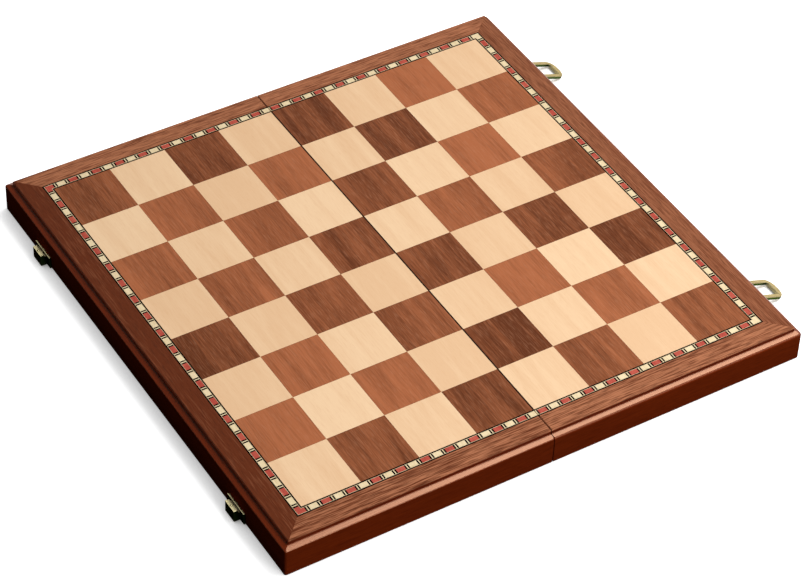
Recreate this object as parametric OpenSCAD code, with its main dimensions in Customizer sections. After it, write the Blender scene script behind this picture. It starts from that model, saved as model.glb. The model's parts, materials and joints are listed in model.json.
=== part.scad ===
// Folding chess box, laid open flat with the playing surface up.
// Millimetres. Origin: middle of the seam, in the plane of the rims the open
// box rests on. X runs across the seam (left half negative), Y along the seam
// (front negative), Z up. The right half folds down and under the left half.

/* [Playing field] */
// side of one square
square = 44; // [35:0.5:55]
// height of one half, rim to playing surface
half_height = 26.2; // [25:0.2:32]
// open gap between the two halves at the seam
seam_gap = 0.6; // [0.4:0.1:1.0]
// width of the plain veneer border
frame_w = 15.3; // [12:0.1:22]
// thickness of every face veneer
veneer_t = 0.9; // [0.6:0.1:1.5]
// saw-thin joint left between neighbouring veneer pieces
veneer_joint = 0.08; // [0.04:0.02:0.2]

/* [Inlay band] */
// width of each black edge string
black_string = 1; // [0.5:0.1:1.2]
// width of each cream string
cream_string = 0.3; // [0.2:0.1:0.9]
// width of the row of blocks between the strings
block_w = 3.9; // [3:0.1:5]
// length of a block as a share of the red to red repeat
block_share = 0.335; // [0.3:0.005:0.4]
// width of each black bar as a share of the room between two blocks
bar_share = 0.37; // [0.3:0.01:0.4]
// red to red repeats along each outer side
side_repeats = 19; // [15:1:21]
// repeats from the outer corner to the seam, left half
left_end_repeats = 9.6; // [8.6:0.1:10.6]
// repeats from the outer corner to the seam, right half
right_end_repeats = 9.76; // [8.76:0.1:10.76]

/* [Carcass] */
// thickness of every rail
rail_t = 9.5; // [9:0.5:12]
// width of the ledge outside the raised panel
ledge_w = 4.8; // [4.4:0.2:6]
// height the panel stands above the ledge
panel_step = 2.7; // [1.5:0.1:3.5]
// slope of the ledge, falling away from the panel, in degrees
ledge_slope = 16; // [0:1:25]
// radius that rolls the ledge over into the side
round_r = 1.8; // [1:0.1:3.5]
// radius of the upright outer corners
corner_r = 2; // [1:0.5:3]
// thickness of the core board under the veneers
core_t = 4; // [3:0.5:5]
// thickness of the felt inside each tray
lining_t = 0.8; // [0.5:0.1:1.5]

/* [Fold hinges] */
// hinge position along the seam, as a share of the half length
hinge_at = 0.58; // [0.4:0.02:0.75]
// length of each hinge
hinge_len = 26; // [20:1:34]
// width of each leaf from the pin axis
leaf_w = 8; // [7:0.5:8.5]
// thickness of each leaf
leaf_t = 1.2; // [1:0.1:1.4]
// outside radius of the barrel
barrel_r = 1.7; // [1.5:0.1:2]
// radius of the hinge pin
pin_r = 0.8; // [0.6:0.1:0.9]

/* [Catches] */
// catch and loop position along the side, as a share of the half length
fitting_at = 0.69; // [0.5:0.01:0.8]
// length of the catch plate
catch_len = 22; // [21:0.5:26]
// height of the catch plate
catch_h = 9.6; // [9:0.2:10]
// thickness of the catch plate
catch_t = 1.3; // [1:0.1:1.3]
// length of the nose along the side
nose_len = 12; // [10:0.5:12]
// height of the nose
nose_h = 9.6; // [8:0.2:10]
// how far the nose stands out from its plate
nose_out = 4.5; // [3.5:0.25:6]
// width of the lip along the top of the nose
nose_lip = 2.9; // [2:0.1:3]
// depth of the hollow behind the lip
hollow_h = 2; // [1:0.5:4]

/* [Loops] */
// outside width of the loop
loop_w = 20.5; // [20:0.5:24]
// thickness of the loop
loop_t = 2.4; // [2:0.1:2.4]
// width of the loop's outer bar
loop_band = 4.4; // [3.5:0.1:5]
// height of the loop's pin axis above the rim
loop_axis_z = 9.8; // [9.4:0.2:12]
// distance of the loop's pin axis from the side
loop_axis_out = 2.6; // [2.6:0.1:3]
// room between the nose and the loop's outer bar when closed
nose_play = 0.8; // [0.6:0.2:4]

/* [Hidden] */

// fits
running = 0.05;      // radial clearance of a pin in a hole that turns
clear = 0.3;         // room round a knuckle that turns past wood
web_clear = 0.25;    // room between a knuckle and the other leaf
seat = 0.05;         // room round a screw, leaf or lining in its seat
axis_drop = 0.1;     // fold axis below the rims, so the closed rims just clear
floor_clear = 0.1;   // resting loop tip above the table
eps = 0.5;           // cutter overrun

files = 8;
half_files = files / 2;
g = seam_gap / 2;
fx = g + half_files * square;          // field edge, across
fy = half_files * square;              // field edge, along
core_in = black_string + cream_string; // inner edge of the blocks
core_out = core_in + block_w;          // outer edge of the blocks
band_w = core_out + cream_string + black_string;
px = fx + band_w + frame_w;            // panel edge, across
py = fy + band_w + frame_w;            // panel edge, along
ox = px + ledge_w;                     // side face, across
oy = py + ledge_w;                     // side face, along
top_z = half_height;
veneer_z = top_z - veneer_t;
core_z = veneer_z - core_t;
ledge_z = top_z - panel_step;
// the slope of the ledge turns into the side through a round centred at this height
roll_z = ledge_z - (ledge_w - round_r) * tan(ledge_slope) - round_r / cos(ledge_slope);

hinge_y = hinge_at * oy;
knuckles = 5;
knuckle_len = hinge_len / knuckles;
knuckle_gap = 0.1;

screw_head_r = 1.9;
screw_shank_r = 0.95;
screw_head_h = 0.95;
screw_len = 7;
slot_w = 0.45;
slot_h = 0.4;

fitting_y = fitting_at * oy;
catch_z = 0.2;                         // catch plate above the rim
nose_z = 0.4;                          // nose above the rim
dimple_r = 0.8;
dimple_h = 0.5;
catch_screw_inset = 2.5;               // from the plate's end
catch_screw_y = catch_len / 2 - catch_screw_inset;

hasp_t = 1.2;
hasp_h = 8;
hasp_screw_inset = 3.6;                // from the plate's end
hasp_screw_y = loop_w / 2 - hasp_screw_inset;
hasp_screw_lift = 1;                   // above the middle of the plate
hasp_knuckle_r = 1.9;
loop_knuckle = 9.8;                    // length of the loop's own knuckle
loop_side_play = 0.5;                  // nose to loop arm, each side
loop_root = hasp_knuckle_r + clear;    // where the loop's full width starts
window_in = 6;
window_out = loop_axis_z + 2 * axis_drop + nose_z + nose_h + nose_play;
window_w = nose_len + 2 * loop_side_play;
loop_reach = window_out + loop_band;
shoulder_l = 6.5;                      // shoulder's length along the loop
shoulder_w = 8.5;                      // shoulder's width across the loop
shoulder_steps = 8;
loop_droop = asin((loop_axis_z - floor_clear) / norm([loop_reach, loop_t / 2]))
             - atan(loop_t / 2 / loop_reach);

mahogany_dark = [0.29, 0.10, 0.05];
mahogany = [0.56, 0.32, 0.21];
square_brown = [0.49, 0.29, 0.20];
maple = [0.94, 0.79, 0.61];
ply = [0.72, 0.55, 0.36];
string_dark = [0.08, 0.07, 0.06];
cream = [0.91, 0.84, 0.66];
red = [0.80, 0.28, 0.26];
felt = [0.16, 0.28, 0.18];
brass = [0.78, 0.70, 0.44];

// side = 0 keeps the left half, side = 1 mirrors it to the right
module on_half(side) { mirror([side, 0, 0]) children(); }

// ---------------------------------------------------------------- carcass

// corner waste outside a quarter round of radius r, corner at the origin
module corner_waste(r) {
  difference() {
    translate([-eps, -eps]) square([r + eps, r + eps]);
    translate([r, r]) circle(r = r, $fn = 64);
  }
}

// outer rail cross-section: x inward from the side face, y up from the rim
module rail_profile() {
  difference() {
    polygon([[0, 0], [rail_t, 0], [rail_t, core_z], [ledge_w, core_z], [ledge_w, ledge_z],
             [0, ledge_z - ledge_w * tan(ledge_slope)]]);
    difference() {
      translate([-eps, roll_z]) square([eps + round_r * (1 - sin(ledge_slope)), round_r]);
      translate([round_r, roll_z]) circle(r = round_r, $fn = 64);
    }
  }
}

module outer_rail(side) {
  on_half(side) intersection() {
    translate([-ox, oy + eps, 0]) rotate([90, 0, 0])
      linear_extrude(height = 2 * (oy + eps)) rail_profile();
    translate([0, 0, -eps]) linear_extrude(height = top_z + 2 * eps)
      difference() {
        polygon([[-ox, -oy], [-ox + rail_t, -oy + rail_t],
                 [-ox + rail_t, oy - rail_t], [-ox, oy]]);
        translate([-ox, -oy]) corner_waste(corner_r);
        translate([-ox, oy]) mirror([0, 1]) corner_waste(corner_r);
      }
  }
}

module end_rail(side) {
  on_half(side) intersection() {
    translate([-ox - eps, -oy, 0]) rotate([90, 0, 90])
      linear_extrude(height = ox + eps) rail_profile();
    translate([0, 0, -eps]) linear_extrude(height = top_z + 2 * eps)
      difference() {
        polygon([[-ox, -oy], [-g, -oy], [-g, -oy + rail_t],
                 [-ox + rail_t, -oy + rail_t]]);
        translate([-ox, -oy]) corner_waste(corner_r);
      }
  }
}

module seam_rail(side) {
  on_half(side) difference() {
    translate([-g - rail_t, -oy + rail_t, 0])
      cube([rail_t, 2 * (oy - rail_t), core_z]);
    for (s = [-1, 1]) translate([0, s * hinge_y, 0]) {
      translate([-leaf_w - seat, -hinge_len / 2 - seat, -eps])
        cube([leaf_w + seat + eps, hinge_len + 2 * seat, leaf_t + eps]);
      translate([0, hinge_len / 2 + clear, -axis_drop]) rotate([90, 0, 0])
        cylinder(r = barrel_r + clear, h = hinge_len + 2 * clear, $fn = 48);
      for (t = [-1, 1]) translate([hinge_screw_x, t * hinge_screw_y, 0])
        cylinder(r = screw_shank_r + seat, h = screw_len + seat, $fn = 32);
    }
  }
}

module panel(side) {
  on_half(side) translate([-px, -py, core_z]) cube([px - g, 2 * py, core_t]);
}

module lining(side) {
  on_half(side) translate([-ox + rail_t + seat, -oy + rail_t + seat, core_z - lining_t])
    cube([ox - g - 2 * rail_t - 2 * seat, 2 * (oy - rail_t - seat), lining_t]);
}

// ---------------------------------------------------------------- veneers

module outer_frame(side) {
  on_half(side) translate([0, 0, veneer_z]) linear_extrude(height = veneer_t)
    polygon([[-px, -py], [-px + frame_w, -py + frame_w],
             [-px + frame_w, py - frame_w], [-px, py]]);
}

module end_frame(side) {
  on_half(side) translate([0, 0, veneer_z]) linear_extrude(height = veneer_t)
    polygon([[-px, -py], [-g, -py], [-g, -py + frame_w], [-px + frame_w, -py + frame_w]]);
}

// squares of one tone on one half; the outer front square of the left half is light
module squares(side, tone) {
  on_half(side) translate([0, 0, veneer_z])
    for (i = [0 : half_files - 1], j = [0 : files - 1])
      if ((i + j + side + tone) % 2 == 0)
        translate([-fx + i * square + veneer_joint / 2,
                   -fy + j * square + veneer_joint / 2, 0])
          cube([square - veneer_joint, square - veneer_joint, veneer_t]);
}

// ---------------------------------------------------------------- inlay band

// strip along the three outer sides of the field, a to b outside its edge
module u_strip(a, b) {
  difference() {
    translate([-fx - b, -fy - b]) square([fx + b - g, 2 * (fy + b)]);
    translate([-fx - a, -fy - a]) square([fx + a + eps, 2 * (fy + a)]);
  }
}

module strings(outer, inner) {
  u_strip(core_in - inner + veneer_joint / 2, core_in - outer - veneer_joint / 2);
  u_strip(core_out + outer + veneer_joint / 2, core_out + inner - veneer_joint / 2);
}

// one piece of the block row, from a to b along the side, cut off at the end
module piece(a, b, end) {
  e = min(b, end) - veneer_joint / 2;
  s = a + veneer_joint / 2;
  if (e > s + veneer_joint)
    translate([s, core_in + veneer_joint / 2])
      square([e - s, block_w - veneer_joint]);
}

// row of pieces; kind 0 blocks of the corner's wood, 1 blocks of the other
// wood, 2 black bars, 3 cream bars; the corner pieces are drawn elsewhere
module row(kind, pitch, count, end) {
  len = block_share * pitch;
  room = pitch / 2 - len;
  bar = bar_share * room;
  for (j = [0 : count]) {
    s = -core_out + j * pitch / 2;
    if (kind < 2 && j > 0 && j % 2 == kind) piece(s, s + len, end);
    if (kind == 2) {
      piece(s + len, s + len + bar, end);
      piece(s + len + room - bar, s + len + room, end);
    }
    if (kind == 3) piece(s + len + bar, s + len + room - bar, end);
  }
}

module corner_piece(pitch) {
  arm = block_share * pitch - veneer_joint / 2;
  o = core_out - veneer_joint / 2;
  i = core_in + veneer_joint / 2;
  polygon([[-fx - o, -fy - o], [-fx - core_out + arm, -fy - o],
           [-fx - core_out + arm, -fy - i], [-fx - i, -fy - i],
           [-fx - i, -fy - core_out + arm], [-fx - o, -fy - core_out + arm]]);
}

module rows(kind, end_repeats) {
  side_pitch = (2 * fy + 2 * core_out) / (side_repeats + block_share);
  end_pitch = (half_files * square + core_out) / (end_repeats + block_share / 2);
  translate([-fx, -fy]) rotate(90)
    row(kind, side_pitch, 2 * side_repeats - 1, 2 * fy + core_out);
  for (s = [0, 1]) mirror([0, s])
    translate([-fx, -fy]) mirror([0, 1])
      row(kind, end_pitch, ceil(2 * end_repeats), half_files * square);
  if (kind == 0) for (s = [0, 1]) mirror([0, s]) corner_piece(end_pitch);
}

function end_count(side) = side == 0 ? left_end_repeats : right_end_repeats;

module band_black(side) {
  on_half(side) translate([0, 0, veneer_z]) linear_extrude(height = veneer_t) {
    strings(cream_string, core_in);
    rows(2, end_count(side));
  }
}

module band_cream(side) {
  on_half(side) translate([0, 0, veneer_z]) linear_extrude(height = veneer_t) {
    strings(0, cream_string);
    rows(3, end_count(side));
    rows(1 - side, end_count(side));
  }
}

module band_red(side) {
  on_half(side) translate([0, 0, veneer_z]) linear_extrude(height = veneer_t)
    rows(side, end_count(side));
}

// ---------------------------------------------------------------- screws

// countersunk wood screw, head flush at the origin, driven along +Z
module screw() {
  difference() {
    union() {
      cylinder(r1 = screw_head_r, r2 = screw_shank_r, h = screw_head_h, $fn = 32);
      cylinder(r = screw_shank_r, h = screw_len, $fn = 32);
    }
    translate([-screw_head_r, -slot_w / 2, -eps])
      cube([2 * screw_head_r, slot_w, slot_h + eps]);
  }
}

// hole for the screw through a plate of thickness t
module screw_hole(t) {
  translate([0, 0, -eps]) cylinder(r = screw_head_r + seat, h = eps, $fn = 32);
  cylinder(r1 = screw_head_r + seat, r2 = screw_shank_r + seat, h = screw_head_h, $fn = 32);
  cylinder(r = screw_shank_r + seat, h = t + eps, $fn = 32);
}

// ---------------------------------------------------------------- fold hinges

hinge_screw_shift = 0.2;               // away from the barrel
hinge_screw_inset = 5;                 // from the leaf's end
hinge_screw_x = -(leaf_w + barrel_r) / 2 - hinge_screw_shift;
hinge_screw_y = hinge_len / 2 - hinge_screw_inset;

// own = 0 takes the first, third and fifth knuckle, own = 1 the other two
module leaf(own) {
  inner = barrel_r + web_clear;
  difference() {
    union() {
      translate([-leaf_w, -hinge_len / 2, 0]) cube([leaf_w - inner, hinge_len, leaf_t]);
      for (k = [own : 2 : knuckles - 1])
        translate([0, -hinge_len / 2 + k * knuckle_len + knuckle_gap / 2, 0]) {
          translate([-inner - eps, 0, 0])
            cube([inner + eps, knuckle_len - knuckle_gap, leaf_t]);
          translate([0, 0, -axis_drop]) rotate([-90, 0, 0])
            cylinder(r = barrel_r, h = knuckle_len - knuckle_gap, $fn = 48);
        }
    }
    translate([0, -hinge_len, -axis_drop]) rotate([-90, 0, 0])
      cylinder(r = pin_r + running, h = 2 * hinge_len, $fn = 32);
    for (t = [-1, 1]) translate([hinge_screw_x, t * hinge_screw_y, 0]) screw_hole(leaf_t);
  }
}

module hinge_leaves(side) {
  for (s = [-1, 1]) translate([0, s * hinge_y, 0]) on_half(side) leaf(side);
}

module hinge_screws(side) {
  on_half(side) for (s = [-1, 1], t = [-1, 1])
    translate([hinge_screw_x, s * hinge_y + t * hinge_screw_y, 0]) screw();
}

module pins_fold() {
  for (s = [-1, 1]) translate([0, s * hinge_y - hinge_len / 2, -axis_drop])
    rotate([-90, 0, 0]) cylinder(r = pin_r, h = hinge_len, $fn = 32);
}

// ---------------------------------------------------------------- catches

module catch_one() {
  difference() {
    union() {
      translate([-ox - catch_t, -catch_len / 2, catch_z]) cube([catch_t, catch_len, catch_h]);
      translate([-ox - catch_t - nose_out, -nose_len / 2, nose_z])
        cube([nose_out + catch_t / 2, nose_len, nose_h]);
    }
    translate([-ox - catch_t - nose_out + nose_lip, -nose_len / 2 - eps, nose_z + nose_h - hollow_h])
      cube([nose_out - nose_lip, nose_len + 2 * eps, hollow_h + eps]);
    translate([-ox - catch_t - nose_out + nose_lip / 2, 0, nose_z + nose_h - dimple_h])
      cylinder(r = dimple_r, h = dimple_h + eps, $fn = 24);
    for (t = [-1, 1]) translate([-ox - catch_t, t * catch_screw_y, catch_z + catch_h / 2])
      rotate([0, 90, 0]) screw_hole(catch_t);
  }
}

module catch_pair() {
  for (s = [-1, 1]) translate([0, s * fitting_y, 0]) catch_one();
}

module catch_screw_set() {
  for (s = [-1, 1], t = [-1, 1])
    translate([-ox - catch_t, s * fitting_y + t * catch_screw_y, catch_z + catch_h / 2])
      rotate([0, 90, 0]) screw();
}

// pilot holes in the side under a fitting, along X from the side face
module pilots(side_x, y, z) {
  for (s = [-1, 1], t = [-1, 1])
    translate([side_x, s * fitting_y + t * y, z]) rotate([0, 90, 0])
      translate([0, 0, -eps]) cylinder(r = screw_shank_r + seat, h = screw_len + eps + seat, $fn = 32);
}

// ---------------------------------------------------------------- loops

hasp_x = ox + loop_axis_out;
hasp_screw_z = loop_axis_z + hasp_h / 2 + hasp_screw_lift;

module hasp_one() {
  outer = (loop_w - loop_knuckle) / 2 - knuckle_gap;
  difference() {
    union() {
      difference() {
        translate([ox, -loop_w / 2, loop_axis_z]) cube([hasp_t, loop_w, hasp_h]);
        translate([ox - eps, -loop_knuckle / 2 - knuckle_gap, loop_axis_z - eps])
          cube([hasp_t + 2 * eps, loop_knuckle + 2 * knuckle_gap, loop_root + eps]);
      }
      for (s = [0, 1]) mirror([0, s, 0])
        translate([hasp_x, loop_w / 2 - outer, loop_axis_z]) rotate([-90, 0, 0])
          cylinder(r = hasp_knuckle_r, h = outer, $fn = 48);
    }
    translate([hasp_x, -loop_w, loop_axis_z]) rotate([-90, 0, 0])
      cylinder(r = pin_r + running, h = 2 * loop_w, $fn = 32);
    for (t = [-1, 1]) translate([ox + hasp_t, t * hasp_screw_y, hasp_screw_z])
      rotate([0, -90, 0]) screw_hole(hasp_t);
  }
}

module hasp_pair() {
  for (s = [-1, 1]) translate([0, s * fitting_y, 0]) hasp_one();
}

module hasp_screw_set() {
  for (s = [-1, 1], t = [-1, 1])
    translate([ox + hasp_t, s * fitting_y + t * hasp_screw_y, hasp_screw_z])
      rotate([0, -90, 0]) screw();
}

module hasp_pin_pair() {
  for (s = [-1, 1]) translate([hasp_x, s * fitting_y - loop_w / 2, loop_axis_z])
    rotate([-90, 0, 0]) cylinder(r = pin_r, h = loop_w, $fn = 32);
}

// loop outline, x along the loop from its pin axis, y across
function shoulder(s) = [for (k = [0 : shoulder_steps]) let (a = 90 * k / shoulder_steps)
  [loop_reach - shoulder_l + shoulder_l * sin(a),
   s * (loop_w / 2 - shoulder_w + shoulder_w * cos(a))]];
function reversed(v) = [for (k = [len(v) - 1 : -1 : 0]) v[k]];

module loop_one() {
  translate([hasp_x, 0, loop_axis_z]) rotate([0, loop_droop, 0]) difference() {
    union() {
      translate([0, 0, -loop_t / 2]) linear_extrude(height = loop_t) difference() {
        polygon(concat([[loop_root, -loop_w / 2]], shoulder(-1), reversed(shoulder(1)),
                       [[loop_root, loop_w / 2]]));
        translate([window_in, -window_w / 2]) square([window_out - window_in, window_w]);
      }
      translate([0, -loop_knuckle / 2, -loop_t / 2])
        cube([loop_root + eps, loop_knuckle, loop_t]);
      translate([0, -loop_knuckle / 2, 0]) rotate([-90, 0, 0])
        cylinder(r = hasp_knuckle_r, h = loop_knuckle, $fn = 48);
    }
    translate([0, -loop_w, 0]) rotate([-90, 0, 0])
      cylinder(r = pin_r + running, h = 2 * loop_w, $fn = 32);
  }
}

// ---------------------------------------------------------------- pieces

module left_outer_rail() color(mahogany_dark) difference() {
  outer_rail(0);
  pilots(-ox, catch_screw_y, catch_z + catch_h / 2);
}
module left_front_rail() color(mahogany_dark) end_rail(0);
module left_rear_rail() color(mahogany_dark) mirror([0, 1, 0]) end_rail(0);
module left_seam_rail() color(mahogany_dark) seam_rail(0);
module left_panel() color(ply) panel(0);
module left_outer_frame() color(mahogany) outer_frame(0);
module left_front_frame() color(mahogany) end_frame(0);
module left_rear_frame() color(mahogany) mirror([0, 1, 0]) end_frame(0);
module left_light_squares() color(maple) squares(0, 0);
module left_dark_squares() color(square_brown) squares(0, 1);
module left_band_black() color(string_dark) band_black(0);
module left_band_cream() color(cream) band_cream(0);
module left_band_red() color(red) band_red(0);
module left_lining() color(felt) lining(0);
module left_hinge_leaves() color(brass) hinge_leaves(0);
module left_hinge_screws() color(brass) hinge_screws(0);
module hinge_pins() color(brass) pins_fold();
module catches() color(brass) catch_pair();
module catch_screws() color(brass) catch_screw_set();

module right_outer_rail() color(mahogany_dark) difference() {
  outer_rail(1);
  mirror([1, 0, 0]) pilots(-ox, hasp_screw_y, hasp_screw_z);
}
module right_front_rail() color(mahogany_dark) end_rail(1);
module right_rear_rail() color(mahogany_dark) mirror([0, 1, 0]) end_rail(1);
module right_seam_rail() color(mahogany_dark) seam_rail(1);
module right_panel() color(ply) panel(1);
module right_outer_frame() color(mahogany) outer_frame(1);
module right_front_frame() color(mahogany) end_frame(1);
module right_rear_frame() color(mahogany) mirror([0, 1, 0]) end_frame(1);
module right_light_squares() color(maple) squares(1, 0);
module right_dark_squares() color(square_brown) squares(1, 1);
module right_band_black() color(string_dark) band_black(1);
module right_band_cream() color(cream) band_cream(1);
module right_band_red() color(red) band_red(1);
module right_lining() color(felt) lining(1);
module right_hinge_leaves() color(brass) hinge_leaves(1);
module right_hinge_screws() color(brass) hinge_screws(1);
module hasp_plates() color(brass) hasp_pair();
module hasp_pins() color(brass) hasp_pin_pair();
module hasp_screws() color(brass) hasp_screw_set();
module loop_front() color(brass) translate([0, -fitting_y, 0]) loop_one();
module loop_rear() color(brass) translate([0, fitting_y, 0]) loop_one();

left_outer_rail();
left_front_rail();
left_rear_rail();
left_seam_rail();
left_panel();
left_outer_frame();
left_front_frame();
left_rear_frame();
left_light_squares();
left_dark_squares();
left_band_black();
left_band_cream();
left_band_red();
left_lining();
left_hinge_leaves();
left_hinge_screws();
hinge_pins();
catches();
catch_screws();
right_outer_rail();
right_front_rail();
right_rear_rail();
right_seam_rail();
right_panel();
right_outer_frame();
right_front_frame();
right_rear_frame();
right_light_squares();
right_dark_squares();
right_band_black();
right_band_cream();
right_band_red();
right_lining();
right_hinge_leaves();
right_hinge_screws();
hasp_plates();
hasp_pins();
hasp_screws();
loop_front();
loop_rear();
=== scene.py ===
"""A folding chess box of stained mahogany, laid open flat with its inlaid playing surface up."""

import json
import math

import bmesh
import bpy
from mathutils import Matrix, Vector


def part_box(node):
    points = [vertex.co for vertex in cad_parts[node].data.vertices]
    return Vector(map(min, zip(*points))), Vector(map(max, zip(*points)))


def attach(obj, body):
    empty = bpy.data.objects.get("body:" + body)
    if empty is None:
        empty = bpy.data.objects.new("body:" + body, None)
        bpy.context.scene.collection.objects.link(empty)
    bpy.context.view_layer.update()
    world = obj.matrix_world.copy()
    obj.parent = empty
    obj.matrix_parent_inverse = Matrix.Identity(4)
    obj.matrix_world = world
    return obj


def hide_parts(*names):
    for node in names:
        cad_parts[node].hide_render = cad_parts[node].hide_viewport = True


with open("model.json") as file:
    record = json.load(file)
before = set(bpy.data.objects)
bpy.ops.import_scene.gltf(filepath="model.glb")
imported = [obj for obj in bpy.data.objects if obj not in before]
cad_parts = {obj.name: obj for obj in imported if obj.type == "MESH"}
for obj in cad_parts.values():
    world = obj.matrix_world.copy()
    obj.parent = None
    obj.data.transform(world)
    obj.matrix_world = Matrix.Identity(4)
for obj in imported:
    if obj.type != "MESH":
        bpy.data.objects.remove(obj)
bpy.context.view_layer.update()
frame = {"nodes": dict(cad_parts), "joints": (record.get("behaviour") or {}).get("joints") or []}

# ---------------------------------------------------------------------------
# Outer rails
# Each half is a tray of four mahogany rails, glued at the corners. The outer three have a ledge moulded
# along the top that falls away from the board and rolls over into the side, and they meet in mitres. The
# outside is stained dark and lacquered; the ledges, which hands rub, are burnished.

mm = 0.001
rail_low, rail_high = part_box("left_outer_rail")
seam_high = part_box("left_seam_rail")[1]
border_low, border_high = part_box("left_outer_frame")
rail_thick = rail_high.x - rail_low.x
ledge = border_low.x - rail_low.x
board_under = seam_high.z
half_gap = -seam_high.x

# the right half is rounder than the left one, along its ledges and at its upright corners
upright_round = {"left": 1.6 * mm, "right": 3.3 * mm}
ledge_roll = {"left": 1.2 * mm, "right": 2.6 * mm}
# the ledge is crowned a little: it starts off nearly level and falls more steeply towards the side
ledge_lean = (math.radians(10), math.radians(22))
ledge_drop = 0.4 * mm
rim_edge = 0.45 * mm
sawn_edge = 0.35 * mm
ledge_steps, roll_steps, upright_steps = 8, 10, 5
rubbed_faces = ledge_steps + roll_steps // 2


def tone(code):
    """The linear colour of an sRGB hex value."""
    shares = [int(code[at : at + 2], 16) / 255 for at in (1, 3, 5)]
    return [s / 12.92 if s <= 0.04045 else ((s + 0.055) / 1.055) ** 2.4 for s in shares] + [1.0]


def add(tree, kind, feeds=(), **settings):
    """Adds one node with its settings; feeds pairs each of its sockets with a value or a source socket."""
    made = tree.nodes.new("ShaderNode" + kind)
    for name, value in settings.items():
        setattr(made, name, value)
    for socket, source in dict(feeds).items():
        if isinstance(source, bpy.types.NodeSocket):
            tree.links.new(source, made.inputs[socket])
        else:
            made.inputs[socket].default_value = source
    return made.outputs


def finish(name, **constants):
    """A new material, its node tree and its shader, with the constants of its surface set."""
    made = bpy.data.materials.new(name)
    made.use_nodes = True
    shader = made.node_tree.nodes["Principled BSDF"]
    for socket, value in constants.items():
        shader.inputs[socket.replace("_", " ")].default_value = value
    return made, made.node_tree, shader


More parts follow.
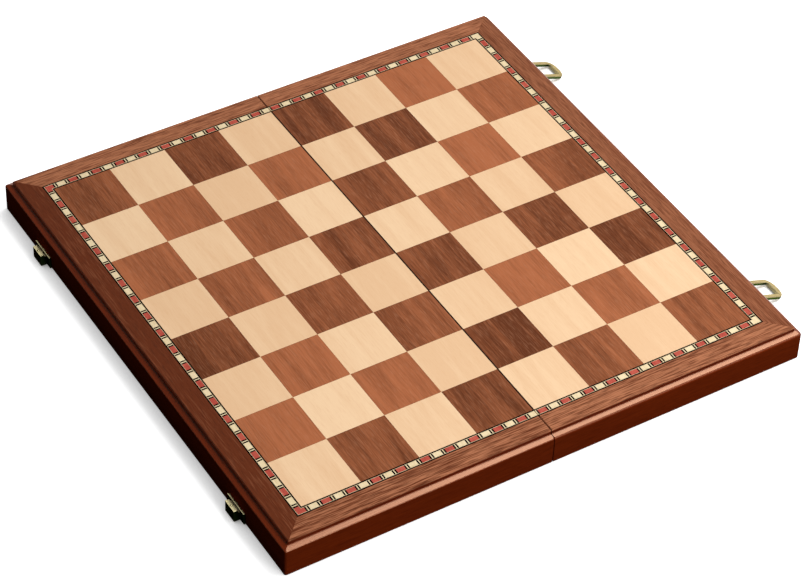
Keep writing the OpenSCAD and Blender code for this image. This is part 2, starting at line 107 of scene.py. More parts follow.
def wood(
    name, along, tones, ribbon, figure, grain, open_pored,
    lean=0.0, tile=None, spread=0.0, edge=None, **constants,
):
    """A timber finish with its grain along one axis. tones are the deep and the pale colour and that of the
    pores. ribbon is the width of the bands in the figure, in metres, and figure, grain and open_pored are
    how strongly the bands, the fine lines and the pores show. lean makes the whole piece paler, or deeper
    below 0. With a tile size, each square of that size is a piece of its own, cut from another place, and
    spread is how far its lean may differ from the others'. edge is the tone of the veneer's cut sides."""
    made, tree, shader = finish(name, **constants)
    source = add(tree, "TexCoord")
    place = source["Object"]
    shift = lean
    deep, pale, pore = (tone(code) for code in tones)
    if tile:
        side = add(tree, "VectorMath", {0: place}, operation="SIGN")[0]
        gap = add(tree, "VectorMath", {0: side, 1: (half_gap, 0, 0)}, operation="MULTIPLY")[0]
        squared = add(tree, "VectorMath", {0: place, 1: gap}, operation="SUBTRACT")[0]
        counted = add(tree, "VectorMath", {0: squared, 1: (1 / tile, 1 / tile, 0)}, operation="MULTIPLY")[0]
        square = add(tree, "VectorMath", {0: counted}, operation="FLOOR")[0]
        chance = add(tree, "TexWhiteNoise", {"Vector": square}, noise_dimensions="3D")
        place = add(tree, "VectorMath", {0: place, 1: chance["Color"]}, operation="ADD")[0]
        shift = add(tree, "MapRange", {0: chance["Value"], 3: lean - spread, 4: lean + spread})[0]
    # along the grain the figure changes 14 times as slowly as across it, and the fine lines 25 times
    slow = [1.0, 1.0, 1.0]
    slow[along] = 0.07
    run = add(tree, "Mapping", {"Vector": place, "Scale": slow})[0]
    slow[along] = 0.04
    long_run = add(tree, "Mapping", {"Vector": place, "Scale": slow})[0]
    # soft ribbons of the figure, a few millimetres wide, over clouds of some centimetres
    bands = add(tree, "TexNoise", {"Vector": run, "Scale": 1 / ribbon, "Detail": 2.5, "Distortion": 0.4})[0]
    clouds = add(tree, "TexNoise", {"Vector": run, "Scale": 0.3 / ribbon, "Detail": 1.0})[0]
    # the fine lines lie about 0.3 mm apart in the real wood; drawn 0.9 mm apart here so that they show
    drawn_lines = {"Vector": long_run, "Scale": 1 / (0.9 * mm), "Detail": 2.0, "Roughness": 0.7}
    lines = add(tree, "TexNoise", drawn_lines)[0]
    banded = add(tree, "MapRange", {0: bands, 1: 0.3, 2: 0.7, 3: -figure, 4: figure})[0]
    clouded = add(tree, "MapRange", {0: clouds, 1: 0.3, 2: 0.7, 3: 0.35, 4: 0.65})[0]
    fine = add(tree, "MapRange", {0: lines, 1: 0.35, 2: 0.65, 3: -grain, 4: grain})[0]
    mixed = add(tree, "Math", {0: banded, 1: clouded}, operation="ADD")[0]
    mixed = add(tree, "Math", {0: mixed, 1: fine}, operation="ADD")[0]
    mixed = add(tree, "Math", {0: mixed, 1: shift}, operation="ADD", use_clamp=True)[0]
    body = add(tree, "Mix", {0: mixed, 6: deep, 7: pale}, data_type="RGBA")[2]
    # pores are about 0.1 mm wide in the real wood; drawn 0.55 mm wide here so that they show
    dashes = add(tree, "TexNoise", {"Vector": run, "Scale": 1 / (0.55 * mm), "Detail": 1.0})[0]
    pores = add(tree, "MapRange", {0: dashes, 1: 0.52, 2: 0.7, 3: 0.0, 4: open_pored})[0]
    colour = add(tree, "Mix", {0: pores, 6: body, 7: pore}, data_type="RGBA")[2]
    if edge:
        # the stain of the cut sides has crept a quarter of a millimetre over the edge along the seam
        facing = add(tree, "SeparateXYZ", {0: source["Normal"]})["Z"]
        across = add(tree, "SeparateXYZ", {0: source["Object"]})["X"]
        across = add(tree, "Math", {0: across}, operation="ABSOLUTE")[0]
        inside = add(tree, "MapRange", {0: across, 1: half_gap + 0.15 * mm, 2: half_gap + 0.35 * mm})[0]
        clean = add(tree, "Math", {0: facing, 1: inside}, operation="MULTIPLY")[0]
        colour = add(tree, "Mix", {0: clean, 6: tone(edge), 7: colour}, data_type="RGBA")[2]
    tree.links.new(colour, shader.inputs["Base Color"])
    # the film of lacquer sinks a little into the pores and lies in faint ripples between them
    ripple = add(tree, "TexNoise", {"Vector": place, "Scale": 1 / (4 * mm), "Detail": 1.0})[0]
    film = add(tree, "MapRange", {0: pores, 3: 0.5, 4: 0.0})[0]
    film = add(tree, "Math", {0: ripple, 1: 0.25, 2: film}, operation="MULTIPLY_ADD")[0]
    bump = add(tree, "Bump", {"Height": film, "Distance": 0.05 * mm, "Strength": 0.5})[0]
    tree.links.new(bump, shader.inputs["Normal"])
    rough = shader.inputs["Roughness"].default_value
    dull = add(tree, "MapRange", {0: lines, 1: 0.3, 2: 0.7, 3: rough - 0.04, 4: rough + 0.06})[0]
    tree.links.new(dull, shader.inputs["Roughness"])
    return made


def smooth(mesh, name, materials, body, slot, *stands_for, angle=32):
    """The finished piece from its bmesh, on its body and in place of its CAD nodes. Edges that turn by more
    than the angle, in degrees, stay crisp."""
    bmesh.ops.remove_doubles(mesh, verts=mesh.verts, dist=1e-6)
    bmesh.ops.recalc_face_normals(mesh, faces=mesh.faces)
    data = bpy.data.meshes.new(name)
    mesh.to_mesh(data)
    mesh.free()
    for material in materials:
        data.materials.append(material)
    data.shade_smooth()
    data.set_sharp_from_angle(angle=math.radians(angle))
    piece = bpy.data.objects.new(name, data)
    bpy.context.scene.collection.objects.link(piece)
    # flat faces stay flat to the eye between rounded edges
    piece.modifiers.new("flat_faces", "WEIGHTED_NORMAL").keep_sharp = True
    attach(piece, body)
    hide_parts(*stands_for)
    return piece


def rail_section(roll_over):
    """Points inward from the side face and up from the rim, and how many of them come before the ledge."""
    points = [(rim_edge, 0), (rail_thick - rim_edge, 0), (rail_thick, rim_edge), (rail_thick, board_under)]
    points.append((ledge, board_under))
    before = len(points)
    start, end = ledge_lean
    bow = (ledge - roll_over * (1 - math.sin(end))) / (math.sin(end) - math.sin(start))
    for step in range(ledge_steps + 1):
        lean = start + (end - start) * step / ledge_steps
        inward = ledge - bow * (math.sin(lean) - math.sin(start))
        points.append((inward, rail_high.z - ledge_drop - bow * (math.cos(start) - math.cos(lean))))
    shoulder = points[-1][1] - roll_over * math.cos(end)
    for step in range(1, roll_steps + 1):
        lean = end + (math.pi / 2 - end) * step / roll_steps
        points.append((roll_over * (1 - math.sin(lean)), shoulder + roll_over * math.cos(lean)))
    points.append((0, rim_edge))
    return points, before


def rail(length, upright, roll_over, square_end):
    """A rail along its own first axis, mitred at the corner end and swept round the upright edge."""
    section, before = rail_section(roll_over)
    mesh = bmesh.new()
    slices = []
    for step in range(upright_steps + 1):
        turn = math.radians(45 - 45 * step / upright_steps)
        corner = []
        for inward, up in section:
            bend = max(upright - inward, 0)
            sharp = max(upright, inward)
            corner.append((sharp - bend * math.sin(turn), sharp - bend * math.cos(turn), up))
        slices.append(corner)
    if square_end:
        slices.append([(length, inward, up) for inward, up in section])
    else:
        slices += [[(length - a, b, up) for a, b, up in corner] for corner in reversed(slices)]
    slices = [[mesh.verts.new(point) for point in points] for points in slices]
    count = len(section)
    for near, far in zip(slices, slices[1:]):
        for at in range(count):
            face = mesh.faces.new([near[at], near[(at + 1) % count], far[(at + 1) % count], far[at]])
            face.material_index = int(before <= at < before + rubbed_faces)
    mesh.faces.new(slices[0])
    cap = mesh.faces.new(slices[-1])
    if square_end:
        bmesh.ops.bevel(mesh, geom=list(cap.edges), offset=sawn_edge, segments=2, affect="EDGES")
    return mesh


# mahogany under a dark stain and a thin lacquer: deep red-brown, even, with the grain only just showing.
# The sides are flat and dull. Along the ledges the lacquer is burnished, and gives back the light in a warm
# band, most of all on the ends and on the right, and only faintly on the left.
rail_tones = ("#64210a", "#7a2c0d", "#3a0e02")
rail_look = dict(ribbon=7 * mm, figure=0.2, grain=0.2, open_pored=0.3, IOR=1.5)
plain = dict(Roughness=0.5, Specular_IOR_Level=0.0)
burnished = dict(Roughness=0.26, Specular_Tint=tone("#ffcba4"))
rail_finish = {}
for side, axis, gloss in (("ends", 0, 1.0), ("left", 1, 0.12), ("right", 1, 0.8)):
    lacquered = wood(f"stained_mahogany_lacquered_{side}", axis, rail_tones, **rail_look, **plain)
    rubbed = wood(
        f"stained_mahogany_burnished_{side}", axis, rail_tones,
        **rail_look, **burnished, Specular_IOR_Level=gloss,
    )
    rail_finish[side] = [lacquered, rubbed]
for half, way in (("left", 1), ("right", -1)):
    edges = (upright_round[half], ledge_roll[half])
    mesh = rail(rail_high.y - rail_low.y, *edges, square_end=False)
    for point in mesh.verts:
        point.co = (way * (rail_low.x + point.co.y), rail_low.y + point.co.x, point.co.z)
    node = f"{half}_outer_rail"
    smooth(mesh, f"{node}_moulded", rail_finish[half], f"{half}_half", "carcass", node)
    for end, turn in (("front", 1), ("rear", -1)):
        mesh = rail(-half_gap - rail_low.x, *edges, square_end=True)
        for point in mesh.verts:
            point.co = (way * (rail_low.x + point.co.x), turn * (rail_low.y + point.co.y), point.co.z)
        node = f"{half}_{end}_rail"
        smooth(mesh, f"{node}_moulded", rail_finish["ends"], f"{half}_half", "carcass", node)
    frame["nodes"][f"{half}_seam_rail"].data.materials[0] = rail_finish[half][0]

# ---------------------------------------------------------------------------
# Core boards
# A thin board glued over the rails carries all the veneers. Its edge shows as the dark step above the
# ledge and in the open seam, and is stained with the rails.

# birch plywood, sawn and stained along its edge: dark, dull and a little streaky
core_finish = wood(
    "stained_birch_edge", 1, ("#5a1c06", "#6b2408", "#3a1004"), ribbon=3 * mm, figure=0.2, grain=0.3,
    open_pored=0.3, Roughness=0.5, Specular_IOR_Level=0.05, IOR=1.5,
)
for half in ("left", "right"):
    frame["nodes"][f"{half}_panel"].data.materials[0] = core_finish

# ---------------------------------------------------------------------------
# Border veneers
# Strips of sapele veneer with the grain along each strip, mitred at the outer corners and cut off square
# at the seam. The outer top edge is eased with fine paper, so it catches a thin line of light.

strip = border_high.x - border_low.x
eased_edge = 0.35 * mm


def border(outline, low, high, eased_sides):
    """A flat strip from its outline, with the given sides of its top face eased."""
    mesh = bmesh.new()
    under = [mesh.verts.new((x, y, low)) for x, y in outline]
    over = [mesh.verts.new((x, y, high)) for x, y in outline]
    mesh.faces.new(under)
    mesh.faces.new(over)
    for at in range(len(outline)):
        nxt = (at + 1) % len(outline)
        mesh.faces.new([under[at], under[nxt], over[nxt], over[at]])
    edges = [mesh.edges.get((over[at], over[(at + 1) % len(outline)])) for at in eased_sides]
    bmesh.ops.bevel(mesh, geom=edges, offset=eased_edge, segments=3, affect="EDGES")
    return mesh


# sapele, scraped and sealed satin: warm brown with short dark lines, which show most on the end strips.
# Each strip has a tone of its own. The left outer one is much deeper, and that is painted shade: it stands
# for the weaker sheen its grain gives back under the light.
strip_tones = ("#602b16", "#b17251", "#34140a")
strip_look = dict(
    ribbon=5 * mm, figure=0.08, Roughness=0.42,
    Specular_IOR_Level=0.08, Specular_Tint=tone("#ffc890"), IOR=1.5,
)
# the end strips, which run along the first axis, and the outer ones along the second
strip_grain = [dict(grain=0.66, open_pored=0.5), dict(grain=0.22, open_pored=0.4)]
# the deep lean of the left outer strip is painted shade
strip_tone_and_painted_shade = {
    "left_outer": -0.5, "left_front": 0.0, "left_rear": 0.22,
    "right_outer": -0.08, "right_front": 0.14, "right_rear": 0.3,
}
for half, way in (("left", 1), ("right", -1)):
    x, y = border_low.x, border_low.y
    for part, flip, axis, sides in (("outer", 1, 1, [3]), ("front", 1, 0, [0, 1]), ("rear", -1, 0, [0, 1])):
        if part == "outer":
            outline = [(x, y), (x + strip, y + strip), (x + strip, -y - strip), (x, -y)]
        else:
            outline = [(x, y), (-half_gap, y), (-half_gap, y + strip), (x + strip, y + strip)]
        outline = [(way * a, flip * b) for a, b in outline]
        leaf = f"{half}_{part}"
        veneer = wood(
            f"sapele_border_satin_{leaf}", axis, strip_tones, lean=strip_tone_and_painted_shade[leaf],
            **strip_look, **strip_grain[axis],
        )
        mesh = border(outline, border_low.z, border_high.z, sides)
        smooth(mesh, f"{leaf}_border", [veneer], f"{half}_half", "frame_veneer", f"{leaf}_frame")

# ---------------------------------------------------------------------------
# Squares
# Sixty-four squares of face veneer, all with the grain from front to back: sapele, which is ribboned and
# open-pored, and maple, which is nearly plain. They are scraped flush and sealed with a satin lacquer, and
# their cut sides in the open seam are stained.

square_side = 44 * mm
stained_edge = "#241007"
# sapele, sanded and lacquered satin: every square differs, from deep brown to pale red-brown
dark_finish = wood(
    "sapele_squares_satin", 1, ("#5d2e18", "#ae6743", "#bf8767"), ribbon=9 * mm,
    figure=0.2, grain=0.18, open_pored=0.2, tile=square_side, spread=0.46, edge=stained_edge,
    Roughness=0.42, Specular_IOR_Level=0.1, Specular_Tint=tone("#ffc890"), IOR=1.5,
)
# maple, sanded and lacquered satin: creamy and nearly even, with faint lines
light_finish = wood(
    "maple_squares_satin", 1, ("#e8bf95", "#f3cfa6", "#dba97b"), ribbon=7 * mm,
    figure=0.35, grain=0.12, open_pored=0.2, tile=square_side, spread=0.45, edge=stained_edge,
    Roughness=0.45, Specular_IOR_Level=0.15, IOR=1.5,
)
for half in ("left", "right"):
    frame["nodes"][f"{half}_dark_squares"].data.materials[0] = dark_finish
    frame["nodes"][f"{half}_light_squares"].data.materials[0] = light_finish

# ---------------------------------------------------------------------------
# Inlay band
# A banding sawn from a glued-up block of dyed and plain veneers: red and cream blocks parted by black and
# cream bars, between two pairs of strings. It is laid in short lengths and meets at the corners.


def banding(name, tones, gloss):
    """Sycamore in slips of a few millimetres, dyed through or left plain, sanded flush and sealed: even
    and silky, and each slip a little paler or deeper than the next."""
    return wood(
        name, 1, tones, ribbon=2.5 * mm, figure=0.3, grain=0.2, open_pored=0.4, tile=9 * mm, spread=0.25,
        Roughness=0.45, Specular_IOR_Level=gloss, IOR=1.5,
    )


band_finish = {
    "red": banding("sycamore_dyed_red", ("#ac4236", "#c25c4b", "#8a2c22"), 0.1),
    "cream": banding("sycamore_natural", ("#e2cca2", "#f2deb6", "#c8b080"), 0.1),
    "black": banding("sycamore_dyed_black", ("#040302", "#0a0706", "#020101"), 0.0),
}
for half in ("left", "right"):
    for dye, slips in band_finish.items():
        frame["nodes"][f"{half}_band_{dye}"].data.materials[0] = slips

# ---------------------------------------------------------------------------
# Tray linings
# A sheet of green wool felt glued to the underside of each board, cut to the inside of the rails. The
# playing pieces lie on it when the box is closed.

felt_finish, tree, shader = finish(
    "wool_felt_green", Roughness=0.95, Specular_IOR_Level=0.15, Sheen_Weight=0.35, Sheen_Roughness=0.5
)
# pressed wool: soft and dull, of matted fibres in tufts of some millimetres. The fibres are about 0.02 mm
# thick; drawn 0.6 mm apart so that they show
place = add(tree, "TexCoord")["Object"]
tufts = add(tree, "TexNoise", {"Vector": place, "Scale": 1 / (5 * mm), "Detail": 4.0, "Roughness": 0.7})[0]
matted = {"Vector": place, "Scale": 1 / (0.6 * mm), "Detail": 3.0, "Distortion": 1.5}
fibres = add(tree, "TexNoise", matted)[0]
nap = add(tree, "Math", {0: tufts, 1: fibres}, operation="ADD")[0]
nap = add(tree, "MapRange", {0: nap, 1: 0.7, 2: 1.3})[0]
colour = add(tree, "Mix", {0: nap, 6: tone("#16331f"), 7: tone("#2c5536")}, data_type="RGBA")[2]
bump = add(tree, "Bump", {"Height": nap, "Distance": 0.25 * mm, "Strength": 0.7})[0]
tree.links.new(colour, shader.inputs["Base Color"])
tree.links.new(bump, shader.inputs["Normal"])

# the felt is pressed thinner along its cut edge, and lies in very shallow waves
steps_x, steps_y = 60, 120
pressed_deep, pressed_wide = 0.35 * mm, 1.2 * mm
wave_high, wave_room = 0.06 * mm, 0.08 * mm
for half in ("left", "right"):
    low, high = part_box(f"{half}_lining")
    mesh = bmesh.new()
    size = high - low
    rows = []
    for i in range(steps_x + 1):
        row = []
        for j in range(steps_y + 1):
            x = low.x + size.x * i / steps_x
            y = low.y + size.y * j / steps_y
            inset = min(x - low.x, high.x - x, y - low.y, high.y - y)
            pressed = pressed_deep * math.exp(-inset / pressed_wide)
            wave = wave_high * math.sin(x / (17 * mm)) * math.sin(y / (23 * mm) + 2 * x / (31 * mm))
            row.append(mesh.verts.new((x, y, low.z + wave_room + pressed + wave)))
        rows.append(row)
    for near, far in zip(rows, rows[1:]):
        for j in range(steps_y):
            mesh.faces.new([near[j], near[j + 1], far[j + 1], far[j]])
    rim = [e for e in mesh.edges if e.is_boundary]
    raised = bmesh.ops.extrude_edge_only(mesh, edges=rim)["geom"]
    for point in raised:
        if isinstance(point, bmesh.types.BMVert):
            point.co.z = high.z
    felt = smooth(mesh, f"{half}_felt", [felt_finish], f"{half}_half", "lining", f"{half}_lining", angle=60)

# ---------------------------------------------------------------------------
# Fold hinges
# Two brass butt hinges let into the seam rails, each of two leaves with five knuckles on one pin, and
# held by countersunk slotted screws.


def brass(name, bright, dull, rough):
    """Solid brass: its broad faces take the bright colour, and its sides and corners take the dull one. The
    darker sides are painted shade and painted reflection. The darker corners are tarnish and painted shade.
    """
    made, tree, shader = finish(name, Metallic=1.0, Roughness=rough, Specular_Tint=tone("#8c7c52"))
    source = add(tree, "TexCoord")
    # handling marks of some millimetres, and drawing lines that are 0.1 mm apart drawn at 0.3 mm
    marks = add(tree, "TexNoise", {"Vector": source["Object"], "Scale": 1 / (3 * mm), "Detail": 4.0})[0]
    run = add(tree, "Mapping", {"Vector": source["Object"], "Scale": (1.0, 0.08, 1.0)})[0]
    drawn = add(tree, "TexNoise", {"Vector": run, "Scale": 1 / (0.3 * mm), "Detail": 2.0})[0]
    # faces that look neither up nor down take the dull colour, which is painted shade and painted reflection
    facing = add(tree, "SeparateXYZ", {0: source["Normal"]})["Z"]
    facing = add(tree, "Math", {0: facing}, operation="ABSOLUTE")[0]
    wear_and_painted_shade = add(tree, "MapRange", {0: facing, 1: 0.1, 2: 0.6, 3: 0.0, 4: 1.0})[0]
    # corners and hollows are darkened by ambient occlusion, which is tarnish and painted shade
    corner_tarnish_and_shade = add(tree, "AmbientOcclusion", {"Distance": 2 * mm}, samples=8)["AO"]
    corner_tarnish_and_shade = add(tree, "MapRange", {0: corner_tarnish_and_shade, 1: 0.45, 2: 0.9, 3: 0.45, 4: 1.0})[0]
    wear_and_painted_shade = add(tree, "Math", {0: wear_and_painted_shade, 1: corner_tarnish_and_shade}, operation="MULTIPLY")[0]
    spots = add(tree, "MapRange", {0: marks, 1: 0.3, 2: 0.7, 3: 0.86, 4: 1.0})[0]
    wear_and_painted_shade = add(tree, "Math", {0: wear_and_painted_shade, 1: spots}, operation="MULTIPLY")[0]
    colour = add(tree, "Mix", {0: wear_and_painted_shade, 6: tone(dull), 7: tone(bright)}, data_type="RGBA")[2]
    haze = add(tree, "MapRange", {0: marks, 1: 0.3, 2: 0.7, 3: rough - 0.06, 4: rough + 0.1})[0]
    soft = add(tree, "Bevel", {"Radius": 0.15 * mm}, samples=4)[0]
    bump = add(tree, "Bump", {"Height": drawn, "Distance": 0.01 * mm, "Strength": 0.4, "Normal": soft})[0]
    tree.links.new(colour, shader.inputs["Base Color"])
    tree.links.new(haze, shader.inputs["Roughness"])
    tree.links.new(bump, shader.inputs["Normal"])
    return made


# drawn, cut and tumbled: a soft yellow shine with fine lines, and darker sides of painted shade and painted
# reflection
brass_finish = brass("brass_tumbled", "#d4c284", "#94844f", 0.3)
frame["nodes"]["hinge_pins"].data.materials[0] = brass_finish
for half in ("left", "right"):
    for part in ("leaves", "screws"):
        frame["nodes"][f"{half}_hinge_{part}"].data.materials[0] = brass_finish

# ---------------------------------------------------------------------------
# Catches
# Two brass catches on the left side near the rim: a plate with a nose on it that the loop's bar drops
# over. The nose is hollowed behind its lip and dimpled on top, and the plate is screwed on at both ends.

low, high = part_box("catches")
catch_back = rail_low.x
catch_long, catch_tall, catch_plate = 22 * mm, 9.6 * mm, 1.3 * mm
nose_long, nose_lip, nose_hollow = 12 * mm, 2.9 * mm, 2 * mm
nose_raised, lip_slant = 0.2 * mm, 0.2 * mm
nose_tip, nose_low, nose_high = low.x, low.z + nose_raised, high.z
dimple_wide, dimple_deep = 2.1 * mm, 0.95 * mm
stamped_edge = 0.25 * mm


def block(mesh, outline, axis, start, stop, round_edges):
    """A solid of one outline pulled along an axis, with every edge rounded."""
    ends = []
    for at in (start, stop):
        ring = []
        for a, b in outline:
            place = [a, b]
            place.insert(axis, at)
            ring.append(mesh.verts.new(place))
        ends.append(ring)
    faces = [mesh.faces.new(ends[0]), mesh.faces.new(ends[1])]
    count = len(outline)
    for at in range(count):
        nxt = (at + 1) % count
        faces.append(mesh.faces.new([ends[0][at], ends[0][nxt], ends[1][nxt], ends[1][at]]))
    bmesh.ops.recalc_face_normals(mesh, faces=faces)
    edges = list({e for f in faces for e in f.edges})
    bmesh.ops.bevel(mesh, geom=edges, offset=round_edges, segments=3, affect="EDGES")


catch_mesh = bmesh.new()
punch_mesh = bmesh.new()
# the radius of a ball that leaves a dimple of that width and depth
punch = ((dimple_wide / 2) ** 2 + dimple_deep**2) / (2 * dimple_deep)
for side in (-1, 1):
    middle = side * (high.y - catch_long / 2)
    plate = [(catch_back - catch_plate, low.z), (catch_back, low.z)]
    plate += [(catch_back, low.z + catch_tall), (catch_back - catch_plate, low.z + catch_tall)]
    block(catch_mesh, plate, 1, middle - catch_long / 2, middle + catch_long / 2, stamped_edge)
    root = catch_back - catch_plate / 2
    hook = [(root, nose_low), (nose_tip, nose_low), (nose_tip, nose_high), (nose_tip + nose_lip, nose_high)]
    hook += [(nose_tip + nose_lip + lip_slant, nose_high - nose_hollow), (root, nose_high - nose_hollow)]
    block(catch_mesh, hook, 1, middle - nose_long / 2, middle + nose_long / 2, stamped_edge)
    sunk = Vector((nose_tip + nose_lip / 2, middle, nose_high + punch - dimple_deep))
    bmesh.ops.create_uvsphere(
        punch_mesh, u_segments=24, v_segments=16, radius=punch, matrix=Matrix.Translation(sunk)
    )
# stamped: pale on top and almost black down its sides, and the black sides are painted shade and painted
# reflection
catch_finish = brass("brass_catch_with_painted_shade", "#f6e8b4", "#161f10", 0.3)
catches = smooth(catch_mesh, "catch_plates_and_noses", [catch_finish], "left_half", "brass", "catches")
punch_data = bpy.data.meshes.new("punch")
punch_mesh.to_mesh(punch_data)
punch_mesh.free()
punches = bpy.data.objects.new("punch", punch_data)
bpy.context.scene.collection.objects.link(punches)
cut = catches.modifiers.new("dimples", "BOOLEAN")
cut.object = punches
cut.operation = "DIFFERENCE"
cut.solver = "EXACT"
bpy.context.view_layer.update()
dimpled = bpy.data.meshes.new_from_object(catches.evaluated_get(bpy.context.evaluated_depsgraph_get()))
catches.modifiers.clear()
catches.data = dimpled
bpy.data.objects.remove(punches)
frame["nodes"]["catch_screws"].data.materials[0] = catch_finish

# ---------------------------------------------------------------------------
# Loops
# Two cast brass loops hinged to plates on the right side, which hang out and rest near the table.
# Each is a flat ring with full rounded shoulders round an oblong window, its edges worn soft, on a knuckle
# that turns between the two of its plate.

loop_wide, loop_thick, loop_reach = 20.5 * mm, 2.4 * mm, 25.2 * mm
loop_root, shoulder_long, shoulder_wide = 2.2 * mm, 6.5 * mm, 8.5 * mm
window_near, window_far, window_wide = 6 * mm, 20.8 * mm, 13 * mm
knuckle_long, knuckle_round, pin_hole = 9.8 * mm, 1.9 * mm, 0.85 * mm
worn_edge, knuckle_edge = 0.28 * mm, 0.2 * mm


def arc(centre, across, along, start, end, steps):
    """Points on an elliptical arc, angles in degrees."""
    turns = [math.radians(start + (end - start) * step / steps) for step in range(steps + 1)]
    return [(centre[0] + across * math.cos(turn), centre[1] + along * math.sin(turn)) for turn in turns]


def ring(outer, inner, low, high, rounded, upright=False):
    """A ring of even thickness between two closed outlines, with its edges rounded."""
    mesh = bmesh.new()
    levels = []
    for up in (low, high):
        loops = []
        edges = []
        for outline in (outer, inner):
            loop = [mesh.verts.new((a, up, b) if upright else (a, b, up)) for a, b in outline]
            edges += [mesh.edges.new((loop[at - 1], loop[at])) for at in range(len(loop))]
            loops.append(loop)
        bmesh.ops.triangle_fill(mesh, edges=edges, use_beauty=True)
        levels.append(loops)
    for under, over in zip(*levels):
        for at in range(len(under)):
            mesh.faces.new([under[at - 1], under[at], over[at], over[at - 1]])
    bmesh.ops.recalc_face_normals(mesh, faces=mesh.faces)
    sharp = [e for e in mesh.edges if e.calc_face_angle(0) > math.radians(50)]
    bmesh.ops.bevel(mesh, geom=sharp, offset=rounded, segments=3, affect="EDGES")
    return mesh


half_wide, window_half, fillet = loop_wide / 2, window_wide / 2, 0.4 * mm
far_x, inner_x = loop_reach - shoulder_long, half_wide - shoulder_wide
outline = [(loop_root, -half_wide)]
outline += arc((far_x, -inner_x), shoulder_long, shoulder_wide, -90, 0, 10)
outline += arc((far_x, inner_x), shoulder_long, shoulder_wide, 0, 90, 10)
outline += [(loop_root, half_wide)]
window = []
for x, y, start in (
    (window_near + fillet, -window_half + fillet, 180),
    (window_far - fillet, -window_half + fillet, 270),
    (window_far - fillet, window_half - fillet, 0),
    (window_near + fillet, window_half - fillet, 90),
):
    window += arc((x, y), fillet, fillet, start, start + 90, 3)
# the knuckle's neck is a little thinner than the ring and runs into it; the pin's hole is 24-sided
neck, neck_end = loop_thick / 2 - 0.05 * mm, loop_root + 0.6 * mm
bared = math.degrees(math.asin(neck / knuckle_round))
knuckle = [(neck_end, -neck), (neck_end, neck)]
knuckle += arc((0, 0), knuckle_round, knuckle_round, bared, 360 - bared, 24)
hole = arc((0, 0), pin_hole, pin_hole, 0, 345, 23)
# cast and rubbed: pale and a little grey, and green-brown down its sides, which is painted shade and painted
# reflection
loop_finish = brass("brass_cast_with_painted_shade", "#d0bd90", "#3c4a2a", 0.3)
for end in ("front", "rear"):
    hinge = next(joint for joint in frame["joints"] if joint["name"] == f"{end}_loop_hinge")
    pivot = Vector(hinge["pos_m"])
    node = f"loop_{end}"
    down = (pivot.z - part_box(node)[0].z) / math.hypot(loop_reach, loop_thick / 2)
    droop = math.asin(down) - math.atan(loop_thick / 2 / loop_reach)
    mesh = ring(outline, window, -loop_thick / 2, loop_thick / 2, worn_edge)
    turned = ring(knuckle, hole, -knuckle_long / 2, knuckle_long / 2, knuckle_edge, upright=True)
    turned_data = bpy.data.meshes.new("knuckle")
    turned.to_mesh(turned_data)
    turned.free()
    mesh.from_mesh(turned_data)
    bpy.data.meshes.remove(turned_data)
    mesh.transform(Matrix.Translation(pivot) @ Matrix.Rotation(droop, 4, "Y"))
    smooth(mesh, f"{end}_loop_cast", [loop_finish], f"{end}_loop", "brass", node)
for node in ("hasp_plates", "hasp_pins", "hasp_screws"):
    frame["nodes"][node].data.materials[0] = brass_finish

# ---------------------------------------------------------------------------
# Studio
# A floor of white paper under a softbox high on the right, a strip that the front ledge mirrors and a weak
# softbox in front, seen from the photograph's standpoint. The paper is white to the eye and in reflections,
# and throws only a little light back.

floor_radius, floor_sides = 6.0, 48
floor_z = rail_low.z - 0.05 * mm
floor_mesh = bmesh.new()
rim = []
for step in range(floor_sides):
    turn = 2 * math.pi * step / floor_sides
    rim.append(floor_mesh.verts.new((floor_radius * math.cos(turn), floor_radius * math.sin(turn), floor_z)))
floor_mesh.faces.new(rim)
floor_data = bpy.data.meshes.new("floor")
floor_mesh.to_mesh(floor_data)
floor_mesh.free()
floor = bpy.data.objects.new("floor", floor_data)
bpy.context.scene.collection.objects.link(floor)


def white_to_the_eye(tree):
    """The kinds of ray in an emptied node tree, and whether a ray is one that the eye or a gloss follows."""
    tree.nodes.clear()
    ray = add(tree, "LightPath")
    seen = add(tree, "Math", {0: ray["Is Camera Ray"], 1: ray["Is Glossy Ray"]}, operation="MAXIMUM")[0]
    return ray, add(tree, "Math", {0: seen, 1: ray["Is Transmission Ray"]}, operation="MAXIMUM")[0]


paper = bpy.data.materials.new("matt_white_paper")
paper.use_nodes = True
tree = paper.node_tree
ray, seen = white_to_the_eye(tree)
sheet = add(tree, "BsdfDiffuse", {"Color": tone("#ececec")})[0]
# the paper glows, and ambient occlusion dims the glow near the box: painted shade round the box
open_sky = add(tree, "AmbientOcclusion", {"Distance": 0.12}, samples=8)["AO"]
glow_with_painted_shade = add(tree, "MapRange", {0: open_sky, 1: 0.05, 2: 0.95, 3: 0.0, 4: 1.0})[0]
glow = add(tree, "Emission", {"Color": tone("#ffffff"), "Strength": glow_with_painted_shade})[0]
bright = add(tree, "AddShader", {0: sheet, 1: glow})[0]
# when the box is folded its right half hangs below the paper's level, and the paper is cut away round it:
# 48 rays look 0.12 m down, and where any of them meets the box the paper is gone
clear = add(tree, "BsdfTransparent")[0]
below = add(tree, "AmbientOcclusion", {"Distance": 0.12}, samples=48, inside=True)["AO"]
cut_away = add(tree, "MapRange", {0: below, 1: 1.0, 2: 0.98})[0]
bright = add(tree, "MixShader", {0: cut_away, 1: bright, 2: clear})[0]
dim = add(tree, "BsdfDiffuse", {"Color": tone("#5c5a58")})[0]
shown = add(tree, "MixShader", {0: seen, 1: dim, 2: bright})[0]
shown = add(tree, "MixShader", {0: ray["Is Shadow Ray"], 1: shown, 2: clear})[0]
add(tree, "OutputMaterial", {0: shown})
floor_data.materials.append(paper)

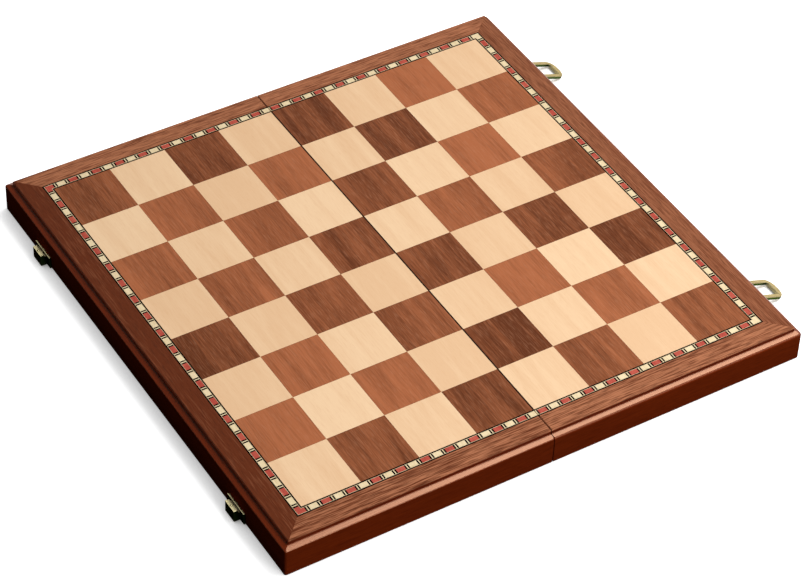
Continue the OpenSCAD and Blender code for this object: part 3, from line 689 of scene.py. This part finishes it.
world = bpy.data.worlds.new("studio")
world.use_nodes = True
bpy.context.scene.world = world
tree = world.node_tree
ray, seen = white_to_the_eye(tree)
level = add(tree, "MapRange", {0: seen, 3: 0.035, 4: 1.0})[0]
white = add(tree, "Background", {"Color": tone("#ffffff"), "Strength": level})[0]
add(tree, "OutputWorld", {0: white})


def softbox(name, place, width, depth, watts):
    """A softbox at the given place, turned to face the middle of the board, its width along the board's."""
    lamp = bpy.data.lights.new(name, "AREA")
    lamp.shape = "RECTANGLE"
    lamp.size, lamp.size_y = width, depth
    lamp.energy = watts
    stand = bpy.data.objects.new(name, lamp)
    bpy.context.scene.collection.objects.link(stand)
    back = Vector(place).normalized()
    across = Vector((0, 1, 0)).cross(back).normalized()
    along = back.cross(across)
    turned = [[across[i], along[i], back[i], place[i]] for i in range(3)]
    stand.matrix_world = Matrix(turned + [[0, 0, 0, 1]])


softbox("key_softbox", (1.20, 0.25, 2.10), 1.3, 1.3, 36.0)
softbox("ledge_strip", (0.58, -0.52, 1.25), 0.95, 0.44, 8.4)
softbox("corner_strip", (0.95, -0.52, 1.24), 0.34, 0.44, 2.0)
softbox("front_softbox", (0.10, -1.30, 0.66), 0.5, 0.7, 7.0)

# the camera's place, aim and focal length were fitted to the corners of the squares; it is tilted a little
# round its own axis, as the photograph is
eye = Vector((-0.83584, -1.30835, 1.43458))
aim = Vector((-0.01472, -0.03670, 0.0262))
tilt = math.radians(2.397)
back = (eye - aim).normalized()
level_right = Vector((0, 0, 1)).cross(back).normalized()
level_up = back.cross(level_right)
right = level_right * math.cos(tilt) + level_up * math.sin(tilt)
up = back.cross(right)
lens = bpy.data.cameras.new("camera")
lens.sensor_width = 36
lens.lens = 134.01
lens.clip_start, lens.clip_end = 0.05, 50
camera = bpy.data.objects.new("camera", lens)
bpy.context.scene.collection.objects.link(camera)
turned = [[right[i], up[i], back[i], eye[i]] for i in range(3)]
camera.matrix_world = Matrix(turned + [[0, 0, 0, 1]])
bpy.context.scene.camera = camera
bpy.context.scene.view_settings.view_transform = "Standard"
